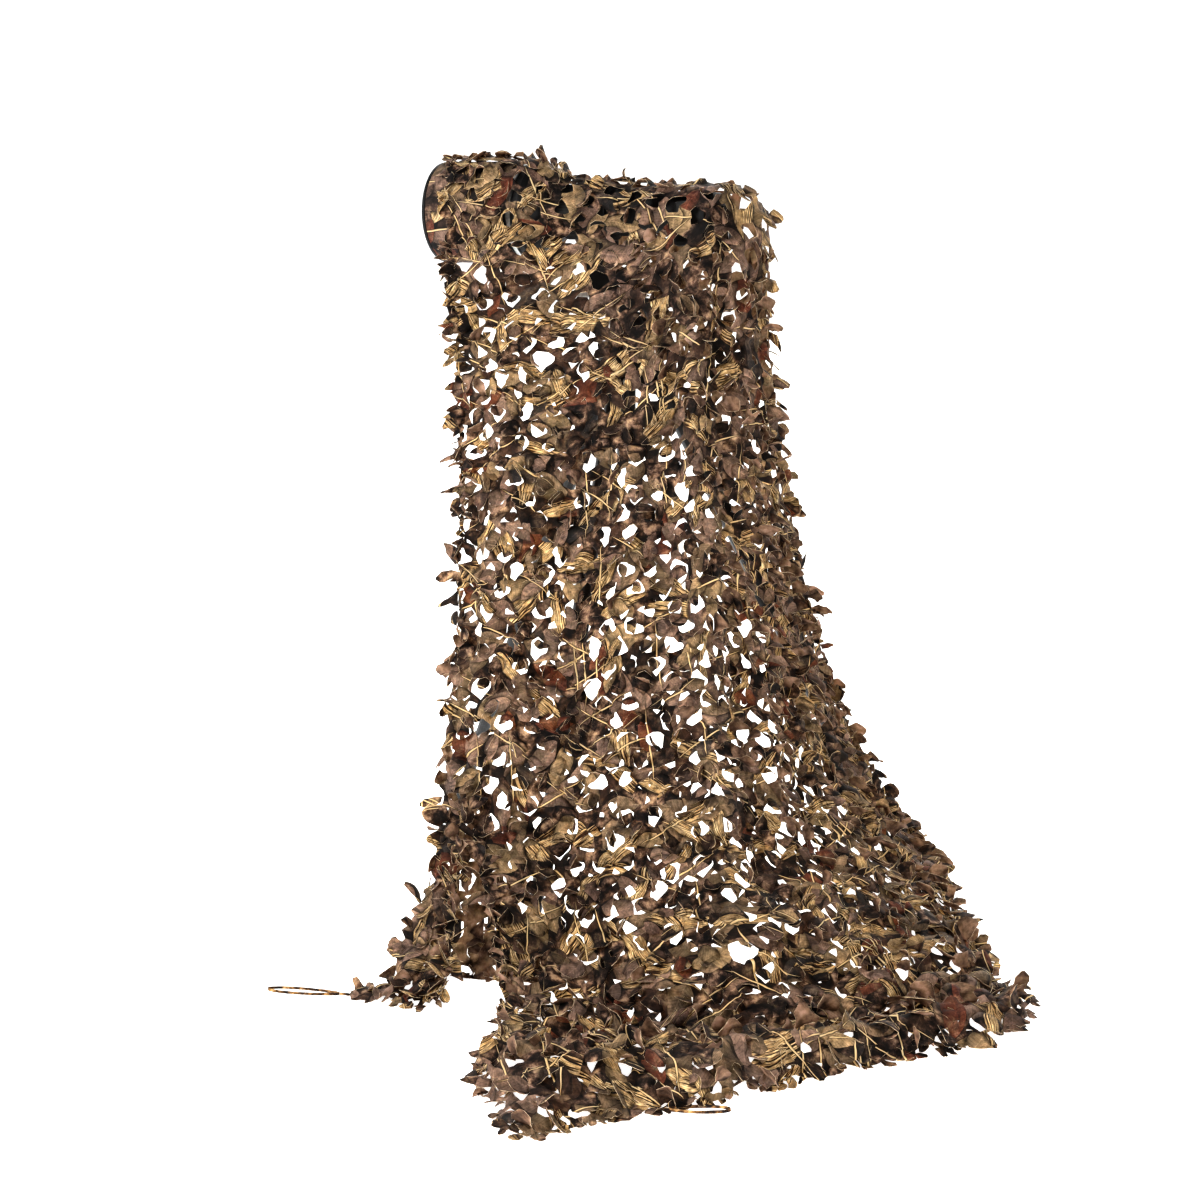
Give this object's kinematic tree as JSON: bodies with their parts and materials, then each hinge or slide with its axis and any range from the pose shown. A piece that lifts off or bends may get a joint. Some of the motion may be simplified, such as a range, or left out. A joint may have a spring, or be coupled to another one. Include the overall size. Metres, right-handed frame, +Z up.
{
  "type": "camouflage net over a tripod, long lens and camera",
  "caption": "Leaf-cut camouflage net draped over a camera with a long lens on a tripod, falling to the floor in front in a spread lobe.",
  "frame": {"origin": "on the floor, under the middle of the whole part's bounding box", "axes": "+Z up; -Y towards the front, where the net spreads on the floor; -X towards the side that the lens points to"},
  "size_m": [1.1402, 1.5454, 1.2477],
  "materials": {
    "net_cloth": "matt printed polyester with die-cut leaf flaps",
    "tape": "matt printed woven tape",
    "sleeve_cloth": "matt printed stretch cloth",
    "carbon_tube": "satin black",
    "casting": "matt black paint",
    "rubber": "matt black",
    "moulding": "fine-grained black",
    "pale_metal": "satin anodised",
    "coated_glass": "coated lens glass"
  },
  "bodies": {
    "root": {"barrel_front": "moulding", "barrel_rear": "moulding", "camera_body": "moulding", "camera_prism": "moulding", "centre_column": "carbon_tube", "collar": "casting", "eyecup": "rubber", "front_glass": "coated_glass", "front_ring": "pale_metal", "head_ball": "casting", "head_base": "casting", "head_clamp": "casting", "hood": "moulding", "hood_sleeve": "sleeve_cloth", "hub": "casting", "leg_front_foot": "rubber", "leg_front_lower_lock": "rubber", "leg_front_lower_tube": "carbon_tube", "leg_front_middle_tube": "carbon_tube", "leg_front_upper_lock": "rubber", "leg_front_upper_tube": "carbon_tube", "leg_rear_foot": "rubber", "leg_rear_lower_lock": "rubber", "leg_rear_lower_tube": "carbon_tube", "leg_rear_middle_tube": "carbon_tube", "leg_rear_upper_lock": "rubber", "leg_rear_upper_tube": "carbon_tube", "leg_right_foot": "rubber", "leg_right_lower_lock": "rubber", "leg_right_lower_tube": "carbon_tube", "leg_right_middle_tube": "carbon_tube", "leg_right_upper_lock": "rubber", "leg_right_upper_tube": "carbon_tube", "lens_foot": "casting", "lens_plate": "pale_metal", "loop_front": "tape", "loop_left": "tape", "net": "net_cloth"}
  },
  "joints": []
}
